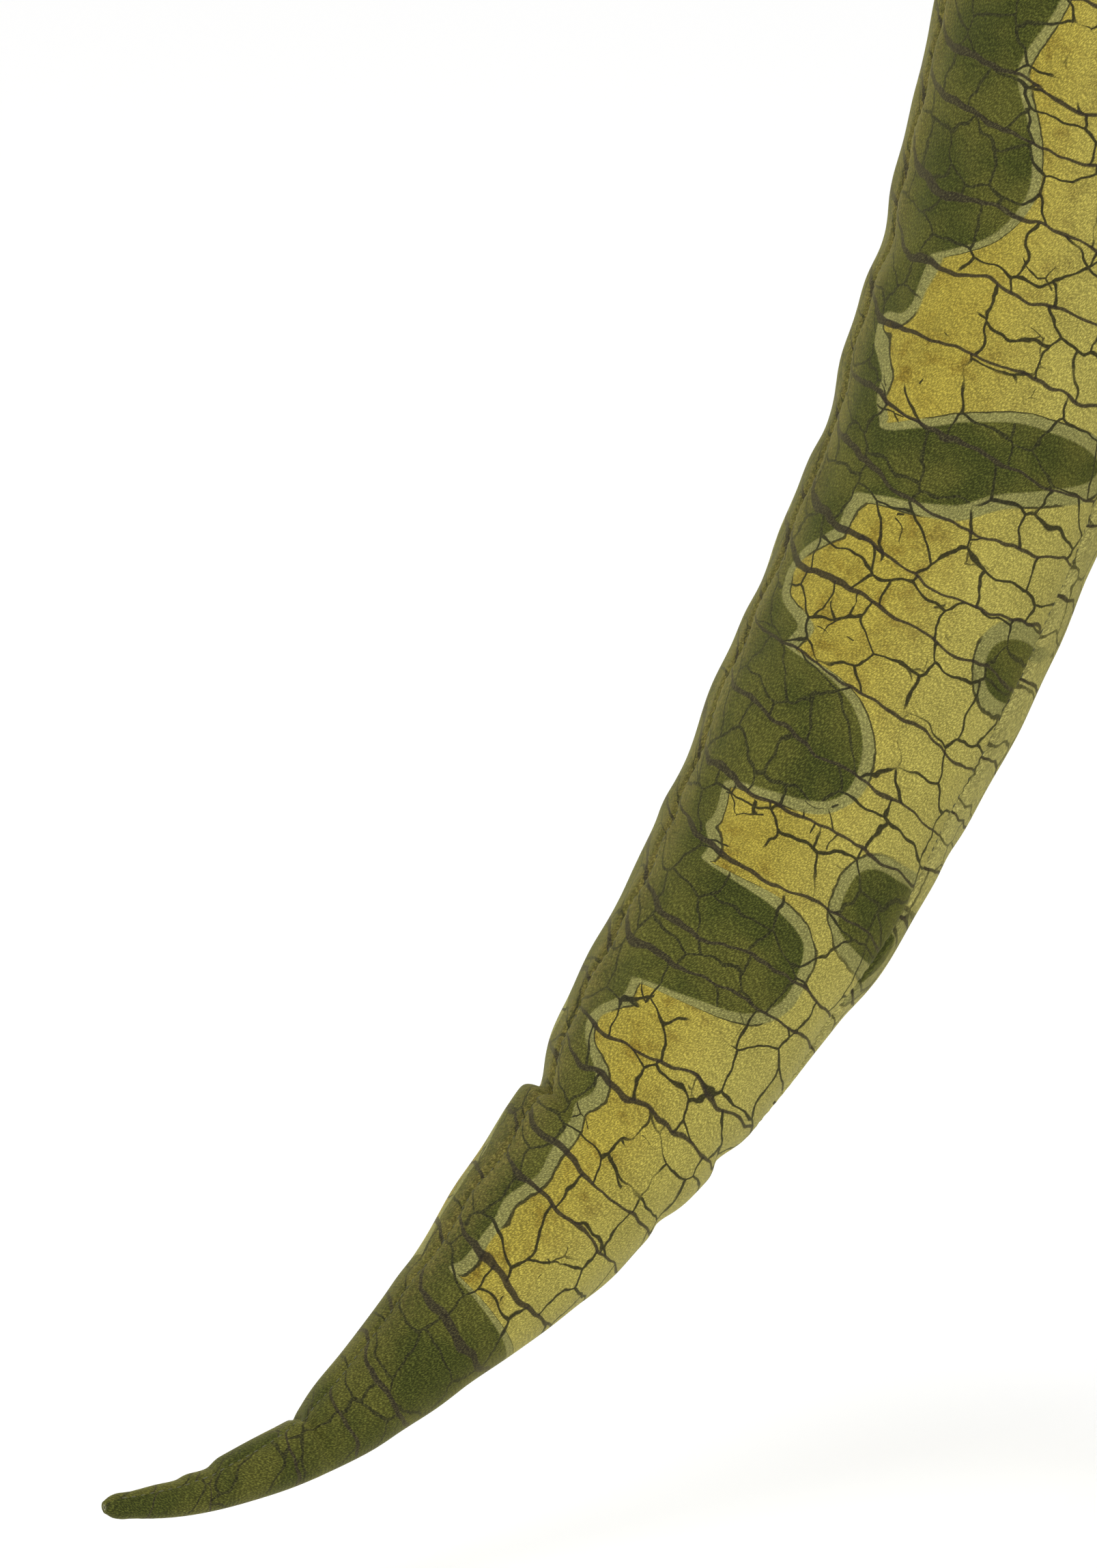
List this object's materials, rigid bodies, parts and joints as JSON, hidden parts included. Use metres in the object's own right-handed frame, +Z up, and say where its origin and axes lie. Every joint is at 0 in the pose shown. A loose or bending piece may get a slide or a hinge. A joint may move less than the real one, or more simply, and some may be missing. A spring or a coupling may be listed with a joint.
{
  "type": "dinosaur costume",
  "caption": "Child's hooded jumpsuit of printed velour in its worn form, hollow, open at face, neck, cuffs and hems, with a long stuffed tail that curves down behind the seat.",
  "frame": {"origin": "between the shoulders at the base of the neck, 1.09 m above the wearer's ground, where the wearer's shoulders hold the costume up", "axes": "+Z up, -Y towards the wearer's front, +X towards the wearer's left"},
  "size_m": [0.7406, 0.6728, 1.308],
  "materials": {
    "printed_velour": "short-pile velour printed in dark green, sage and gold with thin dark cracks",
    "pale_velour": "short-pile velour printed in pale yellow-green with thin dark cracks",
    "stuffing": "white polyester fibre, hidden inside the tail"
  },
  "bodies": {
    "root": {"front_left": "printed_velour", "front_right": "printed_velour", "back_left": "printed_velour", "back_right": "printed_velour", "front_placket": "printed_velour", "sleeve_left": "printed_velour", "sleeve_right": "printed_velour", "hood_left": "printed_velour", "hood_right": "printed_velour", "hood_centre": "printed_velour", "tail_side_left": "printed_velour", "tail_side_right": "printed_velour", "tail_underside": "pale_velour", "tail_filling": "stuffing"}
  },
  "joints": []
}
